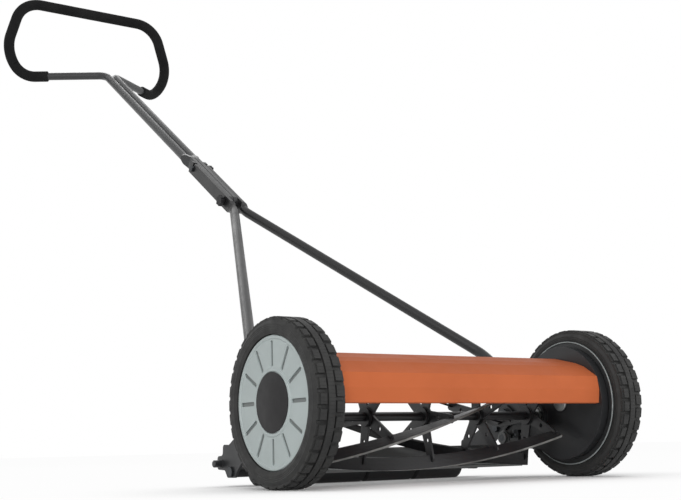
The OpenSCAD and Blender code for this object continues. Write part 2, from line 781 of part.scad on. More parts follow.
// Spider number n of spider_count: a hub, an arm for each blade and a slot that follows the helix
module spider(n) {
    x = -spider_span / 2 + spider_span * (n - 1) / (spider_count - 1);
    helix = atan(blade_twist * PI / 180 * (blade_r0 + spider_r) / 2);
    slot_w = (blade_t + 2 * seat_gap) * cos(helix);
    color("#2b2c2f") in_frame() at_reel() difference() {
        union() {
            rod_x(spider_hub_r, x - spider_hub_w / 2, x + spider_hub_w / 2);
            along_x(x - spider_t / 2, x + spider_t / 2)
                for (i = [0:blade_count - 1]) rotate(blade_phase - blade_twist * x + 360 / blade_count * i)
                    polygon([[0, -9], [spider_r - 3, -6], [spider_r, -4], [spider_r, 4],
                        [spider_r - 3, 6], [0, 9]]);
        }
        rod_x(shaft_r + seat_gap, x - spider_hub_w, x + spider_hub_w);
        for (i = [0:blade_count - 1])
            translate([x, 0, 0]) rotate([blade_phase - blade_twist * x + 360 / blade_count * i, 0, 0]) {
                rod_x(3, -spider_t, spider_t, [(spider_hub_r + blade_r0) / 2, 0]);
                translate([0, blade_r0 - seat_gap, 0]) rotate([0, helix, 0])
                    translate([-spider_t, 0, -slot_w / 2]) cube([2 * spider_t, spider_w, slot_w]);
            }
    }
}

// ---------------------------------------------------------------- bed knife

// Draws in the plane of the bed knife: X back along it from the edge, Y up from its top face
module at_knife() {
    translate(knife_edge) rotate(knife_dir) children();
}

module bed_knife() {
    x1 = plate_in - 16;
    color("#6b6d70") in_frame() difference() {
        along_x(-x1, x1) at_knife()
            polygon([[0, 0], [knife_w, 0], [knife_w, -knife_t], [1.2, -knife_t]]);
        rivet_holes();
    }
}

// Places of the rivets along the bed knife
module at_rivets() {
    pitch = (2 * plate_in - 60) / (rivet_count - 1);
    translate([0, knife_edge[0], knife_edge[1]]) rotate([knife_dir, 0, 0])
        for (i = [0:rivet_count - 1])
            translate([(i - (rivet_count - 1) / 2) * pitch, bar_s0 + 5, 0]) children();
}

module rivet_holes() {
    at_rivets() translate([0, 0, -knife_t - 1]) cylinder(r = rivet_r + seat_gap, h = knife_t + bar_t + 2);
}

module knife_rivets() {
    color("#8f9294") in_frame() at_rivets() {
        translate([0, 0, -knife_t - 0.6]) cylinder(r = rivet_r, h = knife_t + bar_t + 1.2);
        translate([0, 0, bar_t + 2 * seat_gap]) cylinder(r1 = rivet_r + 1.5, r2 = rivet_r + 0.5, h = 1);
        translate([0, 0, -knife_t - 1 - seat_gap]) cylinder(r1 = rivet_r + 0.5, r2 = rivet_r + 1.5, h = 1);
    }
}

// Bed bar with its throat plate, which curves round the reel, and an end lug on each pivot
module knife_carrier() {
    arc0 = 19;
    arc1 = 41;
    a0 = knife_angle;
    color("#55585b") in_frame() difference() {
        union() {
            along_x(-lug_x1, lug_x1) {
                at_knife() translate([bar_s0, seat_gap]) square([bar_s1 - bar_s0, bar_t]);
                polygon(concat(arc_points([reel_y, reel_z], throat_r, a0 + arc0, a0 + arc1, 8),
                    arc_points([reel_y, reel_z], throat_r + throat_t, a0 + arc1, a0 + arc0, 8)));
            }
            both() {
                along_x(lug_x1 - lug_t, lug_x1) polygon(rounded([for (p = [[-36, -16], [-16, -16],
                    [-11, 4], [0, 13], [12, 2], [6, -12], [-13, -32], [-33, -35]]) knife_pivot + p], 4));
                rod_x(knife_pin_r + 4, lug_x1 - lug_t - 3, lug_x1 + 1.5, knife_pivot);
            }
        }
        both() rod_x(knife_pin_r + run_fit, lug_x1 - lug_t - 4, lug_x1 + 3, knife_pivot);
        rivet_holes();
    }
}

module knife_pivot_pins() {
    color("#3f4144") in_frame() both() {
        rod_x(knife_pin_r, lug_x1 - lug_t - 3, plate_out + 1, knife_pivot);
        hex_x(knife_pin_r + 4, plate_out + seat_gap, plate_out + 5, knife_pivot);
    }
}

module knife_adjust_screws() {
    color("#3f4144") in_frame() both() translate([lug_x1 - lug_t / 2, screw_y, 0]) {
        translate([0, 0, ear_top + seat_gap]) cylinder(r = screw_r, h = tab_z + tab_t + 8 - ear_top);
        translate([0, 0, tab_z + tab_t + seat_gap]) cylinder(r = screw_r + 3, h = 3, $fn = 6);
        translate([0, 0, tab_z + tab_t + 7]) cylinder(r = screw_r + 3, h = 5, $fn = 6);
    }
}

// ---------------------------------------------------------------- rear roller

module roller_arm() {
    color("#232427") in_frame() difference() {
        union() {
            along_x(arm_x0, arm_x1) polygon(rounded([arm_pivot + [-13, 6], arm_pivot + [0, 15],
                arm_pivot + [14, 7],
                [roller_y + 6, roller_r + 36], catcher_at + [-5, 26], catcher_at + [-4, 11],
                catcher_at + [11, 10], catcher_at + [11, -8], catcher_at - [10, 9],
                [roller_y + 10, 12], [roller_y - 9, 12], [roller_y - 20, 24],
                clamp_at + [1, -15.5], arm_pivot - [14, 10]], 4.5));
            rod_x(arm_pin_r + 5, arm_x0 - 3, arm_x1, arm_pivot);
        }
        rod_x(arm_pin_r + run_fit, arm_x0 - 4, arm_x1 + 1, arm_pivot);
        rod_x(clamp_r + seat_gap, arm_x0 - 1, arm_x1 + 1, clamp_at);
        rod_x(roller_shaft_r + seat_gap, arm_x0 - 1, arm_x1 + 1, [roller_y, roller_r]);
        rod_x(catcher_r + catcher_step + seat_gap, arm_x0 - 1, arm_x1 + 1, catcher_at);
    }
}

module roller_arm_bolts() {
    color("#3f4144") in_frame() both() {
        rod_x(arm_pin_r, arm_x0 - 4, plate_out + 1, arm_pivot);
        hex_x(arm_pin_r + 4, arm_x0 - 7, arm_x0 - 3 - face_gap, arm_pivot);
        hex_x(arm_pin_r + 4, plate_out + seat_gap, plate_out + 5, arm_pivot);
    }
}

module clamp_bolts() {
    color("#3f4144") in_frame() both() {
        rod_x(clamp_r, arm_x0 - 1, plate_out + 20, clamp_at);
        hex_x(clamp_r + 3, arm_x0 - 4, arm_x0 - seat_gap, clamp_at);
    }
}

module roller_shaft() {
    x1 = arm_x1 + 3;
    color("#3f4144") in_frame() {
        rod_x(roller_shaft_r, -x1, x1, [roller_y, roller_r]);
        both() rod_x(roller_shaft_r + 2, arm_x1 + seat_gap, x1, [roller_y, roller_r]);
    }
}

module roller_spacers() {
    x0 = roller_count / 2 * roller_pitch + face_gap;
    color("#232427") in_frame() both() difference() {
        rod_x(roller_shaft_r + 2.5, x0, arm_x0 - seat_gap, [roller_y, roller_r]);
        rod_x(roller_shaft_r + seat_gap, x0 - 1, arm_x0, [roller_y, roller_r]);
    }
}

// Rod across the roller arms, turned down at its free ends, which carry a grass catcher
module catcher_rod() {
    x1 = plate_in + catcher_end;
    middle_r = catcher_r + catcher_step;
    color("#2c2d30") in_frame() translate([0, catcher_at[0], catcher_at[1]]) turned()
        polygon([[0, -x1], [catcher_r - 1, -x1], [catcher_r, 1 - x1], [catcher_r, -catcher_x0],
            [middle_r, -catcher_x0], [middle_r, catcher_x0], [catcher_r, catcher_x0],
            [catcher_r, x1 - 1], [catcher_r - 1, x1], [0, x1]]);
}

module roller(n) {
    x0 = (n - 1 - roller_count / 2) * roller_pitch + roller_gap / 2;
    x1 = x0 + roller_pitch - roller_gap;
    bore = roller_shaft_r + run_fit;
    color("#222325") in_frame() translate([0, roller_y, roller_r]) turned() polygon([[bore, x0],
        [roller_r - roller_chamfer, x0], [roller_r, x0 + roller_chamfer],
        [roller_r, x1 - roller_chamfer], [roller_r - roller_chamfer, x1], [bore, x1]]);
}

// Wing knob for a clamp bolt
module height_knob() {
    x0 = plate_out + face_gap;
    x1 = plate_out + 18;
    color("#1f2022") in_frame() difference() {
        union() {
            rod_x(8, x0, x1 - 4, clamp_at);
            along_x(x0 + 5, x1) translate(clamp_at) polygon(rounded([[-15, -3], [-6, -5], [6, -5],
                [15, -3], [15, 3], [6, 5], [-6, 5], [-15, 3]], 1.5));
        }
        rod_x(clamp_r + run_fit, x0 - 1, x1 + 1, clamp_at);
    }
}

// ---------------------------------------------------------------- handle

// Places children in the plane of the handle: X across, Y up the slope, Z square to it
module at_handle() {
    translate([0, pivot_at[0], pivot_at[1]]) rotate([handle_angle, 0, 0]) children();
}

// Flat strap along the handle, t thick across X and h high, with its middle at x
module strap(x, t, s0, s1, h) {
    translate([x - t / 2, s0, -h / 2]) cube([t, s1 - s0, h]);
}

module eye(x, t, s, r) {
    translate([x - t / 2, s, 0]) rotate([0, 90, 0]) cylinder(r = r, h = t);
}

// Squeezed end of a tube, from the round at [0, 0] to a strap at [dx, len], drawn up +Y
module taper(dx, len, t, h) {
    lap = 1;
    r = tube_r + seam_t;
    wide = t / 2 + seam_t;
    high = h / 2 + seam_t;
    intersection() {
        rotate([-90, 0, 0]) rotate_extrude()
            polygon([[0, -lap], [r, -lap], [r, 0], [h / 2 + 2, len], [0, len]]);
        translate([0, 0, -h]) linear_extrude(2 * h) polygon([[-r - 1, -2 * lap], [r + 1, -2 * lap],
            [r + seam_t, 0], [dx + wide, len], [dx - wide, len], [-r - seam_t, 0]]);
        rotate([90, 0, 90]) translate([0, 0, -h]) linear_extrude(2 * h) polygon([[-2 * lap, -r - 1],
            [0, -r - seam_t], [len, -high], [len, high], [0, r + seam_t], [-2 * lap, r + 1]]);
    }
}

module lower_tube() {
    s_eye = 44;
    s_round = 58;
    s_neck = joint_bend + 9;
    neck = fold_bolt - flat_h / 2 / tan(90 - fold_max / 2) - 1 - s_neck;
    path = [[low_x, s_round, 0], [low_x, low_bend, 0], [flat_x, joint_bend, 0], [flat_x, s_neck, 0]];
    color("#303134") in_frame() at_handle() difference() {
        union() {
            run(path, [60, stem_bend_r], tube_r, tube_r - tube_wall);
            eye(low_x, 2 * low_flat_t, 0, 9.5);
            strap(low_x, 2 * low_flat_t, 0, s_eye + 1, 18.8);
            translate([low_x, s_round, 0]) mirror([0, 1, 0])
                taper(0, s_round - s_eye, 2 * low_flat_t, 18.8);
            translate([flat_x, s_neck, 0]) taper(0, neck, flat_t, flat_h);
            strap(flat_x, flat_t, s_neck + neck - 1, flat_end, flat_h);
        }
        eye(low_x, 4 * low_flat_t, 0, pin_r + run_fit);
        eye(flat_x, 2 * flat_t, fold_bolt, bolt_r + seat_gap);
        eye(flat_x, 2 * flat_t, lock_bolt, bolt_r + seat_gap);
        translate([flat_x - flat_t, lock_bolt - bolt_r, 0])
            cube([2 * flat_t, 2 * bolt_r, flat_h]);
        drain(low_x, low_bend - 20);
    }
}

// Drain hole in the underside of a tube
module drain(x, s) {
    translate([x, s, -tube_r - 1]) cylinder(r = 1.5, h = tube_r);
}

module handle_pins() {
    head = low_x - low_flat_t - face_gap;
    color("#3f4144") in_frame() both() {
        rod_x(pin_r, head - 1, plate_out, pivot_at);
        rod_x(pin_r + 4, head - 2, head, pivot_at);
        hex_x(pin_r + 1, head - 5, head - 1, pivot_at);
    }
}

// Corners of the loop as seen from its left end, and the bend radius at each
loop_side = [[loop_low_w / 2, loop_y, loop_z], [loop_mid_w / 2, loop_y, loop_z + loop_mid_h],
    [loop_top_w / 2, loop_y, loop_z + loop_h]];
function across(v) = [-v[0], v[1], v[2]];
stem_top = [leg_x, stem_at[0], stem_at[1]];
grip_start = stem_top + (loop_side[0] - stem_top) * (grip_end_w / 2 - leg_x) / (loop_low_w / 2 - leg_x);

module upper_handle() {
    s_neck = lock_bolt + 32;
    s_leg = s_neck + 22;
    foot = [leg_x, pivot_at[0] + s_leg * cos(handle_angle), pivot_at[1] + s_leg * sin(handle_angle)];
    side = [foot, stem_top, loop_side[0], loop_side[1], loop_side[2]];
    path = concat(side, [for (i = [4:-1:0]) across(side[i])]);
    half = [stem_bend_r, loop_low_r, loop_mid_r, loop_top_r];
    bends = concat(half, [for (i = [3:-1:0]) half[i]]);
    color("#56585b") in_frame() difference() {
        union() {
            run(path, bends, tube_r, tube_r - tube_wall);
            at_handle() both() {
                eye(leg_flat_x, leg_flat_t, fold_bolt, flat_h / 2);
                strap(leg_flat_x, leg_flat_t, fold_bolt, s_neck + 1, flat_h - 0.2);
                translate([leg_x, s_leg, 0]) mirror([0, 1, 0])
                    taper(leg_flat_x - leg_x, s_leg - s_neck, leg_flat_t, flat_h - 0.2);
            }
        }
        at_handle() both() {
            eye(leg_flat_x, 2 * leg_flat_t, fold_bolt, bolt_r + run_fit);
            eye(leg_flat_x, 2 * leg_flat_t, lock_bolt, bolt_r + seat_gap);
            drain(leg_x, s_leg + 15);
        }
    }
}

module foam_grip() {
    side = [grip_start, loop_side[0], loop_side[1], loop_side[2]];
    path = concat(side, [for (i = [3:-1:0]) across(side[i])]);
    half = [loop_low_r, loop_mid_r, loop_top_r];
    bends = concat(half, [for (i = [2:-1:0]) half[i]]);
    color("#2a2a2b") in_frame() run(path, bends, grip_r, tube_r + seat_gap);
}

// Joint bolt at s: side is 1 with its knob on the right, -1 with its knob on the left
module joint_bolt(s, side) {
    face = flat_x + flat_t / 2;
    color("#3f4144") in_frame() at_handle() scale([side, 1, 1]) {
        translate([-face - 1, s, 0]) rotate([0, 90, 0]) cylinder(r = bolt_r, h = 2 * face + knob_h - 2);
        translate([-face - 4, s, 0]) rotate([0, 90, 0]) cylinder(r = bolt_r + 3, h = 4 - seat_gap, $fn = 6);
    }
}

// Lobed knob on a joint bolt
module joint_knob(s, side) {
    face = flat_x + flat_t / 2 + face_gap;
    color("#1c1d1f") in_frame() at_handle() translate([0, s, 0]) mirror([side < 0 ? 1 : 0, 0, 0])
        difference() {
            union() {
                rod_x(knob_r - 3, face, face + 3);
                along_x(face + 3, face + knob_h) {
                    circle(r = knob_r - 1.5);
                    for (a = [0:60:300]) rotate(a) translate([knob_r - 2, 0]) circle(r = 2);
                }
            }
            rod_x(bolt_r + run_fit, face - 1, face + knob_h - 2);
        }
}

// ---------------------------------------------------------------- assembly

left() side_plate();  // side_plate_left
side_plate();  // side_plate_right
left() stub_axle();  // stub_axle_left
stub_axle();  // stub_axle_right
axle_clips();
front_tie_rod();
tie_rod_nuts();
front_cover();
cover_bolts();
bearing_outer_rings();
bearing_balls();
knife_pivot_pins();
knife_adjust_screws();
handle_pins();
roller_arm_bolts();
left() tyre();  // tyre_left
left() wheel();  // wheel_left
left() trim_disc();  // trim_disc_left
left() hub_cap();  // hub_cap_left
left() wheel_bush();  // wheel_bush_left
tyre();  // tyre_right
wheel();  // wheel_right
trim_disc();  // trim_disc_right
hub_cap();  // hub_cap_right
wheel_bush();  // wheel_bush_right
left() pinion();  // pinion_left
pinion();  // pinion_right
reel_shaft();
spider(1);  // spider_1
spider(2);  // spider_2
spider(3);  // spider_3
spider(4);  // spider_4
spider(5);  // spider_5
reel_blades();
bearing_inner_rings();
ratchet_keys();
shaft_clips();
knife_carrier();
bed_knife();
knife_rivets();
left() roller_arm();  // roller_arm_left
roller_arm();  // roller_arm_right
clamp_bolts();
roller_shaft();
roller_spacers();
catcher_rod();
roller(1);  // roller_1
roller(2);  // roller_2
roller(3);  // roller_3
roller(4);  // roller_4
left() height_knob();  // height_knob_left
height_knob();  // height_knob_right
left() lower_tube();  // lower_tube_left
lower_tube();  // lower_tube_right
joint_bolt(fold_bolt, -1);  // fold_bolt_pin
upper_handle();
foam_grip();
joint_bolt(lock_bolt, 1);  // lock_bolt_pin
joint_knob(fold_bolt, -1);  // fold_knob
joint_knob(lock_bolt, 1);  // lock_knob
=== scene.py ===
"""Looks of the push reel mower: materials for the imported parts, the foam grip, light and camera.

Lengths are metres in the row frame: X across, -Y forwards, Z up, the ground at Z = 0.
"""
import json
import math

import bmesh
import bpy
from mathutils import Matrix, Vector, noise


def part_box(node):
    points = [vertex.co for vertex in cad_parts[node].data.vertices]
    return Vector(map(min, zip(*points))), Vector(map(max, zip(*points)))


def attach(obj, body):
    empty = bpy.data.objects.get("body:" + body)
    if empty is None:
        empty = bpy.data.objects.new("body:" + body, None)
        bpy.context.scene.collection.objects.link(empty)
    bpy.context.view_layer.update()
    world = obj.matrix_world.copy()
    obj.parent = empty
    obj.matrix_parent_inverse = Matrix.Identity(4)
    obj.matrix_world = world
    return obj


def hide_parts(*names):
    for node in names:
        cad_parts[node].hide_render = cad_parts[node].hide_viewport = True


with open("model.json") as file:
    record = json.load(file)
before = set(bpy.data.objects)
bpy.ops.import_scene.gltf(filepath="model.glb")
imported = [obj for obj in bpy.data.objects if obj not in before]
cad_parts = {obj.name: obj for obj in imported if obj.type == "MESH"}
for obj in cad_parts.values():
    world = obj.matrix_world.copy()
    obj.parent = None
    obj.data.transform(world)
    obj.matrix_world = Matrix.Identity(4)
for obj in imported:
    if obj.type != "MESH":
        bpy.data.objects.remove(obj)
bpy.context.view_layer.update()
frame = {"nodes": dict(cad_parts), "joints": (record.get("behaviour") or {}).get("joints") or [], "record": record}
nodes = frame["nodes"]

# ---------------------------------------------------------------- places from the frame

joint_at = {j["name"]: Vector(j["pos_m"]) for j in frame["joints"]}
AXLE = joint_at["wheel_left_spin"]
REEL_AXIS = joint_at["reel_spin"]
TYRE_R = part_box("tyre_right")[1].z / 2
wheel_low, wheel_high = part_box("wheel_right")
WHEEL_R = (wheel_high.z - wheel_low.z) / 2
reel_low, reel_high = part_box("reel_blades")
REEL_R = (reel_high.z - reel_low.z) / 2
COVER_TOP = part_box("front_cover")[1].z

# Tyre: the ribbed band of the side wall, the pitch of its ribs, and the sipes across the tread
RIBS_IN, RIBS_OUT, RIB_PITCH = TYRE_R - 0.0155, TYRE_R - 0.0090, 0.0022
SIPES_IN, SIPES_OUT, SIPES = TYRE_R - 0.0020, TYRE_R - 0.0005, 144
# Wheel: the bead on its inner flange, painted light all round as a painted highlight, and where its grey outer web
# starts
BEAD_IN, BEAD_OUT = WHEEL_R - 0.0017, WHEEL_R + 0.0010
BEAD_X = wheel_low.x + 0.0014
WEB_X = wheel_high.x - 0.0050
# Deflector: its upper band, from the crease to the top edge, darkened upwards as painted shade
BAND_LOW, BAND_HIGH = COVER_TOP - 0.0300, COVER_TOP - 0.0015
# Blades: the outer edge that is ground bare
GROUND_R = REEL_R - 0.0009

# ---------------------------------------------------------------- node helpers


def srgb(r, g, b):
    """Linear colour, with alpha, of an 8-bit sRGB colour."""
    def linear(v):
        v /= 255
        return v / 12.92 if v <= 0.04045 else ((v + 0.055) / 1.055) ** 2.4
    return (linear(r), linear(g), linear(b), 1.0)


def scaled(colour, k):
    """The colour, lighter or darker by the factor k."""
    return tuple(min(1.0, c * k) for c in colour[:3]) + (1.0,)


def ranged(tree, value, low, high, to_low=0.0, to_high=1.0):
    """value taken from low..high to to_low..to_high, and held at both ends."""
    made = tree.nodes.new("ShaderNodeMapRange")
    tree.links.new(value, made.inputs["Value"])
    for key, v in (("From Min", low), ("From Max", high), ("To Min", to_low), ("To Max", to_high)):
        made.inputs[key].default_value = v
    return made.outputs["Result"]


def worked_out(tree, operation, *values):
    """Result of a maths node on sockets and numbers."""
    made = tree.nodes.new("ShaderNodeMath")
    made.operation = operation
    for socket, v in zip(made.inputs, values):
        if isinstance(v, (int, float)):
            socket.default_value = v
        else:
            tree.links.new(v, socket)
    return made.outputs[0]


class Shader:
    """A material being built: keeps its tree and makes nodes in one call each."""

    def __init__(self, name):
        self.mat = bpy.data.materials.new(name)
        self.mat.use_nodes = True
        self.tree = self.mat.node_tree
        self.bsdf = self.tree.nodes["Principled BSDF"]
        self.pos = self.node("ShaderNodeTexCoord").outputs["Object"]

    def node(self, kind, **values):
        made = self.tree.nodes.new(kind)
        for key, value in values.items():
            setattr(made, key, value)
        return made

    def link(self, a, b):
        self.tree.links.new(a, b)

    def set(self, **sockets):
        for key, value in sockets.items():
            self.bsdf.inputs[key.replace("_", " ")].default_value = value

    def colour(self, value):
        self.link(value, self.bsdf.inputs["Base Color"])

    def roughness(self, value):
        self.link(value, self.bsdf.inputs["Roughness"])

    def noise(self, scale, detail=4.0, at=None):
        made = self.node("ShaderNodeTexNoise")
        made.inputs["Scale"].default_value = scale
        made.inputs["Detail"].default_value = detail
        made.inputs["Roughness"].default_value = 0.55
        self.link(at or self.pos, made.inputs["Vector"])
        return made.outputs["Fac"]

    def stretched(self, sx, sy, sz):
        """Texture coordinates scaled along each axis."""
        made = self.node("ShaderNodeMapping")
        made.inputs["Scale"].default_value = (sx, sy, sz)
        self.link(self.pos, made.inputs["Vector"])
        return made.outputs["Vector"]

    def span(self, value, low, high, to_low=0.0, to_high=1.0):
        """value taken from low..high to to_low..to_high."""
        return ranged(self.tree, value, low, high, to_low, to_high)

    def math(self, operation, *values):
        return worked_out(self.tree, operation, *values)

    def mix(self, factor, a, b):
        """Colour a where factor is 0 and b where it is 1."""
        made = self.node("ShaderNodeMix", data_type="RGBA")
        self.link(factor, made.inputs["Factor"])
        for key, v in (("A", a), ("B", b)):
            socket = [s for s in made.inputs if s.name == key and s.type == "RGBA"][0]
            if isinstance(v, tuple):
                socket.default_value = v
            else:
                self.link(v, socket)
        return [s for s in made.outputs if s.type == "RGBA"][0]

    def bump(self, height, distance, strength=1.0):
        """Adds relief to what the normal already holds."""
        made = self.node("ShaderNodeBump")
        made.inputs["Distance"].default_value = distance
        made.inputs["Strength"].default_value = strength
        self.link(height, made.inputs["Height"])
        chain = self.bsdf.inputs["Normal"].links
        if chain:
            self.link(chain[0].from_socket, made.inputs["Normal"])
        self.link(made.outputs["Normal"], self.bsdf.inputs["Normal"])

    def bevel(self, radius):
        """Normal with the edges within radius rounded off."""
        made = self.node("ShaderNodeBevel", samples=4)
        made.inputs["Radius"].default_value = radius
        return made.outputs["Normal"]

    def rounded(self, radius):
        """Softens sharp edges in the shading, as pressed and moulded edges are."""
        self.link(self.bevel(radius), self.bsdf.inputs["Normal"])

    def edges(self, radius):
        """1 along outside and inside edges, 0 on open faces."""
        flat = self.node("ShaderNodeNewGeometry")
        along = self.node("ShaderNodeVectorMath", operation="DOT_PRODUCT")
        self.link(self.bevel(radius), along.inputs[0])
        self.link(flat.outputs["Normal"], along.inputs[1])
        return self.span(along.outputs["Value"], 1.0, 0.82)

    def axes(self):
        made = self.node("ShaderNodeSeparateXYZ")
        self.link(self.pos, made.inputs["Vector"])
        return made.outputs["X"], made.outputs["Y"], made.outputs["Z"]

    def round_axis(self, centre):
        """Distance from the X-parallel axis through centre, and the angle round it."""
        _, y, z = self.axes()
        dy = self.math("SUBTRACT", y, centre.y)
        dz = self.math("SUBTRACT", z, centre.z)
        square = self.math("ADD", self.math("MULTIPLY", dy, dy), self.math("MULTIPLY", dz, dz))
        return self.math("SQRT", square), self.math("ARCTAN2", dy, dz)

    def between(self, value, low, high, soft=0.0002):
        """1 where low < value < high, with soft ends."""
        up = self.span(value, low - soft, low + soft)
        down = self.span(value, high - soft, high + soft, 1.0, 0.0)
        return self.math("MULTIPLY", up, down)


# ---------------------------------------------------------------- materials


def paint(name, colour, rough, wear=0.25, metal=(0.32, 0.32, 0.32, 1.0), shine=0.5, painted_shade=None,
          ground=None):
    """Sprayed or powder-coated sheet metal with rubbed edges and a little mottling.

    The argument after shine, (height, height, share), is painted shade: the colour falls to the share of itself at
    the second height.
    ground is (axis, radius): beyond that radius from the axis the paint is ground off.
    """
    s = Shader(name)
    s.rounded(0.0006)
    mottle = s.span(s.noise(9, 3), 0.3, 0.7)
    coat = s.mix(mottle, scaled(colour, 0.93), scaled(colour, 1.06))
    # Painted shade: the colour darkens from the first height to the second
    if painted_shade:
        start, end, share = painted_shade
        coat = s.mix(s.span(s.axes()[2], start, end), coat, scaled(colour, share))
    worn = s.math("MULTIPLY", s.edges(0.0007), s.span(s.noise(160, 5), 0.48, 0.66, 0.0, wear))
    coat = s.mix(worn, coat, metal)
    if ground:
        axis, radius = ground
        bare = s.span(s.round_axis(axis)[0], radius, radius + 0.0001)
        bare_steel = s.mix(s.span(s.noise(40), 0.35, 0.65), srgb(92, 92, 90), srgb(148, 148, 145))
        coat = s.mix(bare, coat, bare_steel)
    s.colour(coat)
    s.roughness(s.span(s.noise(45), 0.3, 0.7, rough - 0.05, rough + 0.06))
    s.bump(s.noise(1400, 2), 0.00003)
    s.set(Specular_IOR_Level=shine)
    return s.mat


def steel(name, colour, rough, brushed=None):
    """Plated or ground steel; brushed stretches the scratches along one axis."""
    s = Shader(name)
    s.rounded(0.0004)
    at = s.stretched(*brushed) if brushed else None
    cloud = s.span(s.noise(60, 5, at), 0.3, 0.7)
    s.colour(s.mix(cloud, scaled(colour, 0.85), scaled(colour, 1.08)))
    s.roughness(s.span(s.noise(220, 4, at), 0.25, 0.75, rough - 0.08, rough + 0.10))
    s.bump(s.noise(900, 3, at), 0.00002)
    s.set(Metallic=1.0)
    return s.mat


def plastic(name, colour, rough, grain=0.00004, shine=0.5):
    """Moulded plastic with a fine eroded grain."""
    s = Shader(name)
    s.rounded(0.0008)
    s.colour(s.mix(s.span(s.noise(14), 0.3, 0.7), scaled(colour, 0.94), scaled(colour, 1.05)))
    s.roughness(s.span(s.noise(80, 3), 0.3, 0.7, rough - 0.04, rough + 0.05))
    s.bump(s.noise(1100, 2), grain)
    s.set(Specular_IOR_Level=shine)
    return s.mat


def rubber():
    """Tyre rubber: dull, with a grey bloom, ribbed on the side walls and siped across the tread."""
    s = Shader("tyre_rubber")
    s.rounded(0.0006)
    r, angle = s.round_axis(AXLE)
    bloom = s.span(s.noise(34, 5), 0.38, 0.72, 0.0, 0.5)
    s.colour(s.mix(bloom, srgb(31, 31, 31), srgb(51, 51, 49)))
    s.roughness(s.span(s.noise(70, 3), 0.3, 0.7, 0.6, 0.8))
    wave = s.math("SINE", s.math("MULTIPLY", r, 2 * math.pi / RIB_PITCH))
    s.bump(s.math("MULTIPLY", wave, s.between(r, RIBS_IN, RIBS_OUT, 0.0004)), 0.0002)
    wave = s.math("SINE", s.math("MULTIPLY", angle, SIPES))
    sipes = s.math("MULTIPLY", wave, s.span(r, SIPES_IN, SIPES_OUT))
    s.bump(s.span(sipes, 0.86, 0.96, 1.0, 0.0), 0.0006)
    s.bump(s.noise(750), 0.00008)
    return s.mat


def wheel_moulding():
    """Black wheel plastic with a painted highlight, a light ring on the bead of its inner flange, and a grey outer
    web.
    """
    s = Shader("black_wheel_plastic")
    s.rounded(0.0006)
    r, _ = s.round_axis(AXLE)
    x = s.math("ABSOLUTE", s.axes()[0])
    # Mask of the bead's ring, which is painted light as a painted highlight
    bead = s.math("MULTIPLY", s.between(r, BEAD_IN, BEAD_OUT), s.span(x, BEAD_X, BEAD_X + 0.0002, 1.0, 0.0))
    black = s.mix(s.span(s.noise(14), 0.3, 0.7), srgb(34, 35, 36), srgb(42, 43, 44))
    base = s.mix(s.span(x, WEB_X, WEB_X + 0.0005), black, srgb(118, 123, 122))
    # Light grey of the painted highlight on the bead
    painted_highlight = s.mix(s.span(s.noise(90), 0.35, 0.7), srgb(136, 142, 142), srgb(166, 172, 172))
    s.colour(s.mix(bead, base, painted_highlight))
    s.roughness(s.span(s.noise(80, 3), 0.3, 0.7, 0.42, 0.54))
    s.bump(s.noise(1100, 2), 0.00004)
    return s.mat


def foam():
    """Closed-cell foam: matt, pitted with small cells."""
    s = Shader("grip_foam")
    cells = s.node("ShaderNodeTexVoronoi", feature="F1")
    cells.inputs["Scale"].default_value = 900
    s.link(s.pos, cells.inputs["Vector"])
    s.colour(s.mix(s.span(s.noise(30), 0.3, 0.7), srgb(20, 20, 21), srgb(33, 33, 33)))
    s.set(Roughness=0.9, Specular_IOR_Level=0.2)
    s.bump(cells.outputs["Distance"], 0.00025, 0.8)
    s.bump(s.noise(260), 0.0002)
    return s.mat


looks = {
    "plate": paint("black_plate_paint", srgb(34, 35, 37), 0.42),
    "steel": steel("zinc_plate", srgb(176, 178, 176), 0.38),
    # The deflector's upper band gets painted shade, darker towards its top edge
    "cover": paint("orange_paint", srgb(208, 112, 69), 0.55, wear=0.3, metal=srgb(120, 72, 50),
                   shine=0.08, painted_shade=(BAND_LOW, BAND_HIGH, 0.76)),
    "tyre": rubber(),
    "bolt": steel("black_zinc", srgb(74, 76, 78), 0.45),
    "wheel": wheel_moulding(),
    "trim": plastic("silver_trim_plastic", srgb(176, 186, 185), 0.42, grain=0.00002),
    "cap": plastic("dark_cap_plastic", srgb(33, 32, 33), 0.5, grain=0.00002, shine=0.25),
    "bush": plastic("nylon", srgb(206, 200, 186), 0.5),
    "gear": steel("gear_steel", srgb(140, 142, 144), 0.42),
    "reel": paint("black_reel_paint", srgb(36, 36, 38), 0.38, wear=0.5, ground=(REEL_AXIS, GROUND_R)),
    "knife": steel("ground_knife_steel", srgb(150, 152, 152), 0.36, brushed=(0.05, 1, 1)),
    "bar": paint("dark_bar_paint", srgb(102, 104, 104), 0.4),
    "roller": plastic("black_roller_plastic", srgb(32, 32, 34), 0.5),
    "low_tube": paint("black_tube_paint", srgb(30, 30, 31), 0.36, wear=0.1, shine=0.45),
    "stem": paint("grey_tube_paint", srgb(46, 47, 48), 0.34, wear=0.1),
    "foam": foam(),
    "knob": plastic("black_knob_plastic", srgb(26, 26, 28), 0.5, shine=0.3),
}
slot_of = {s["node"]: s["material_slot"] for s in frame["record"]["subparts"]}
for name, obj in nodes.items():
    obj.data.materials.clear()
    obj.data.materials.append(looks[slot_of[name]])

# ---------------------------------------------------------------- foam grip

# Corners of the loop's centreline, as half widths and heights over the lower corners, and the
# bend at each; the stem meets the loop below and in front of its lower corners
LOW_W, MID_W, TOP_W = 0.158, 0.194, 0.159
MID_H, TOP_H = 0.057, 0.172
BENDS = (0.050, 0.080, 0.058)
STEM_X, STEM_BACK, STEM_DROP = 0.009, 0.114, 0.005
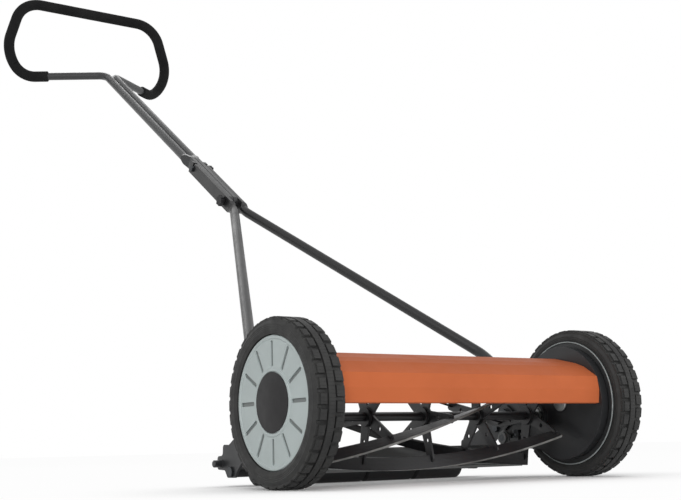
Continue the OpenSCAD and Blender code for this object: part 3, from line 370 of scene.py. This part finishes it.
# The foam: its radius, the radius of the tube in it, where it ends across, the rounding of its
# ends and the depth and scale of its unevenness
GRIP_R, TUBE_R = 0.0115, 0.0082
GRIP_END = 0.110
GRIP_ROUND = 0.0028
DENT, DENT_SCALE = 0.00025, 45
# Vertices round the sleeve, and the distance between its rings
RING, STEP = 36, 0.0025


def bent(corners, bends):
    """Points about STEP apart along straight runs joined by arcs."""
    points = [corners[0]]

    def straight(to):
        start = points[-1]
        n = max(1, round((to - start).length / STEP))
        points.extend(start.lerp(to, k / n) for k in range(1, n + 1))

    for a, q, b, bend in zip(corners, corners[1:], corners[2:], bends):
        u, w = (a - q).normalized(), (b - q).normalized()
        half = u.angle(w) / 2
        centre = q + (u + w).normalized() * bend / math.sin(half)
        start, end = q + u * bend / math.tan(half), q + w * bend / math.tan(half)
        straight(start)
        first, last = (start - centre).normalized(), (end - centre).normalized()
        n = max(4, round(bend * first.angle(last) / STEP))
        points.extend(centre + first.slerp(last, k / n) * bend for k in range(1, n + 1))
    straight(corners[-1])
    return points


def grip_path():
    """Centreline of the foam, from one end of the loop round to the other."""
    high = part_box("foam_grip")[1]
    back = high.y - GRIP_R
    base = high.z - GRIP_R - TOP_H
    side = [Vector((w, back, base + h)) for w, h in ((LOW_W, 0), (MID_W, MID_H), (TOP_W, TOP_H))]
    stem = Vector((STEM_X, back - STEM_BACK, base - STEM_DROP))
    start = stem.lerp(side[0], (GRIP_END - STEM_X) / (LOW_W - STEM_X))
    half = [start] + side
    corners = half + [Vector((-v.x, v.y, v.z)) for v in reversed(half)]
    return bent(corners, BENDS + BENDS[::-1])


def foam_radius(s, length):
    """Radius of the foam at distance s along it: full, with rounded ends."""
    t = GRIP_ROUND - min(s, length - s, GRIP_ROUND)
    return GRIP_R - GRIP_ROUND + math.sqrt(GRIP_ROUND ** 2 - t ** 2)


def grip_rings(bm, path):
    """Rings of vertices along the path, on the outside of the foam and on its bore."""
    along = [0.0]
    for a, b in zip(path, path[1:]):
        along.append(along[-1] + (b - a).length)
    normal = (path[1] - path[0]).orthogonal().normalized()
    outer, inner = [], []
    for i, (p, s) in enumerate(zip(path, along)):
        tangent = (path[min(i + 1, len(path) - 1)] - path[max(i - 1, 0)]).normalized()
        normal = (normal - tangent * normal.dot(tangent)).normalized()
        side_way = tangent.cross(normal)
        r = foam_radius(s, along[-1])
        outer.append([])
        inner.append([])
        for k in range(RING):
            a = 2 * math.pi * k / RING
            way = normal * math.cos(a) + side_way * math.sin(a)
            dent = DENT * (0.5 + 0.5 * noise.noise((p + way * GRIP_R) * DENT_SCALE))
            outer[-1].append(bm.verts.new(p + way * (r - dent)))
            inner[-1].append(bm.verts.new(p + way * TUBE_R))
    return outer, inner


def foam_sleeve():
    """The foam as one closed sleeve, in place of the plain CAD solid."""
    bm = bmesh.new()
    outer, inner = grip_rings(bm, grip_path())

    def band(a, b, flip):
        for k in range(RING):
            quad = (a[k], a[(k + 1) % RING], b[(k + 1) % RING], b[k])
            bm.faces.new(quad[::-1] if flip else quad)

    for rows, flip in ((outer, False), (inner, True)):
        for a, b in zip(rows, rows[1:]):
            band(a, b, flip)
    band(outer[0], inner[0], True)
    band(outer[-1], inner[-1], False)
    bm.normal_update()
    bmesh.ops.recalc_face_normals(bm, faces=bm.faces)
    mesh = bpy.data.meshes.new("foam_sleeve")
    bm.to_mesh(mesh)
    bm.free()
    mesh.shade_smooth()
    sleeve = bpy.data.objects.new("foam_sleeve", mesh)
    bpy.context.scene.collection.objects.link(sleeve)
    mesh.materials.append(looks["foam"])
    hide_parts("foam_grip")
    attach(sleeve, "upper_handle")


foam_sleeve()

# ---------------------------------------------------------------- stage

FLOOR_SIZE = 40
# The floor shows less of the plain white where the object closes off the sky near it
CLOSE = 0.26
OPEN_SKY, CLOSED_SKY = 0.95, 0.5
KEEP_OPEN, KEEP_CLOSED = 0.96, 0.1


def backdrop_white(tree, lit, glow_kind, keep=None):
    """Shows plain white to the camera and to reflections, and lit to everything else.

    keep is a socket with the share of that white; the rest of it shows lit, and so the shadow.
    """
    path = tree.nodes.new("ShaderNodeLightPath")
    seen = path.outputs["Is Camera Ray"]
    for ray in ("Is Glossy Ray", "Is Transmission Ray"):
        seen = worked_out(tree, "MAXIMUM", seen, path.outputs[ray])
    if keep:
        seen = worked_out(tree, "MULTIPLY", seen, keep)
    glow = tree.nodes.new(glow_kind)
    glow.inputs["Color"].default_value = (1, 1, 1, 1)
    glow.inputs["Strength"].default_value = 1.0
    mix = tree.nodes.new("ShaderNodeMixShader")
    tree.links.new(seen, mix.inputs["Fac"])
    tree.links.new(lit.outputs[0], mix.inputs[1])
    tree.links.new(glow.outputs[0], mix.inputs[2])
    return mix.outputs[0]


bpy.ops.mesh.primitive_plane_add(size=FLOOR_SIZE, location=(0, 0, 0))
floor = bpy.context.object
floor.name = "floor"

floor_mat = bpy.data.materials.new("floor_white")
floor_mat.use_nodes = True
tree = floor_mat.node_tree
matt = tree.nodes["Principled BSDF"]
matt.inputs["Base Color"].default_value = (0.94, 0.94, 0.94, 1)
matt.inputs["Roughness"].default_value = 0.9
open_sky = tree.nodes.new("ShaderNodeAmbientOcclusion")
open_sky.samples = 16
open_sky.inputs["Distance"].default_value = CLOSE
keep = ranged(tree, open_sky.outputs["AO"], CLOSED_SKY, OPEN_SKY, KEEP_CLOSED, KEEP_OPEN)
tree.links.new(backdrop_white(tree, matt, "ShaderNodeEmission", keep),
               tree.nodes["Material Output"].inputs["Surface"])
floor.data.materials.append(floor_mat)

# ---------------------------------------------------------------- light

# Strength of the world near the horizon and overhead, and the heights between which it falls
SKY_LOW, SKY_HIGH = 0.72, 0.18
FALL_START, FALL_END = 0.1, 0.8
BODY_CENTRE = (0, -0.5, 0.15)

world = bpy.data.worlds.new("studio")
bpy.context.scene.world = world
world.use_nodes = True
tree = world.node_tree
ambient = tree.nodes["Background"]
ambient.inputs["Color"].default_value = (1, 1, 1, 1)
sky = tree.nodes.new("ShaderNodeTexCoord")
height = tree.nodes.new("ShaderNodeSeparateXYZ")
tree.links.new(sky.outputs["Generated"], height.inputs["Vector"])
tree.links.new(ranged(tree, height.outputs["Z"], FALL_START, FALL_END, SKY_LOW, SKY_HIGH),
               ambient.inputs["Strength"])
tree.links.new(backdrop_white(tree, ambient, "ShaderNodeBackground"),
               tree.nodes["World Output"].inputs["Surface"])


def area_light(name, place, target, size, power):
    """A rectangular lamp of so many watts, turned towards target."""
    lamp = bpy.data.lights.new(name, "AREA")
    lamp.shape = "RECTANGLE"
    lamp.size, lamp.size_y = size
    lamp.energy = power
    obj = bpy.data.objects.new(name, lamp)
    bpy.context.scene.collection.objects.link(obj)
    obj.location = place
    obj.rotation_euler = (Vector(target) - Vector(place)).to_track_quat("-Z", "Y").to_euler()


area_light("key", (-2.0, -2.8, 1.5), BODY_CENTRE, (1.8, 1.6), 50)
area_light("fill", (2.8, -1.8, 1.2), BODY_CENTRE, (1.8, 1.6), 12)
area_light("rim", (0.4, 2.4, 2.6), (0, 0, 0.4), (2.0, 1.2), 18)

# ---------------------------------------------------------------- camera

CAMERA_AT = Vector((-1.0325, -1.8203, 0.0493))
YAW, PITCH, ROLL = (math.radians(a) for a in (34.66, 9.31, -1.39))
# Millimetres
SENSOR, LENS = 36, 63.632

forward = Vector((math.sin(YAW) * math.cos(PITCH), math.cos(YAW) * math.cos(PITCH), math.sin(PITCH)))
level = Vector((math.cos(YAW), -math.sin(YAW), 0))
above = level.cross(forward)
right = level * math.cos(ROLL) + above * math.sin(ROLL)
up = above * math.cos(ROLL) - level * math.sin(ROLL)
camera = bpy.data.cameras.new("camera")
camera.sensor_width = SENSOR
camera.lens = LENS
camera_obj = bpy.data.objects.new("camera", camera)
bpy.context.scene.collection.objects.link(camera_obj)
camera_obj.matrix_world = Matrix.Translation(CAMERA_AT) @ Matrix(
    (right, up, -forward)).transposed().to_4x4()
bpy.context.scene.camera = camera_obj
bpy.context.scene.view_settings.view_transform = "Standard"
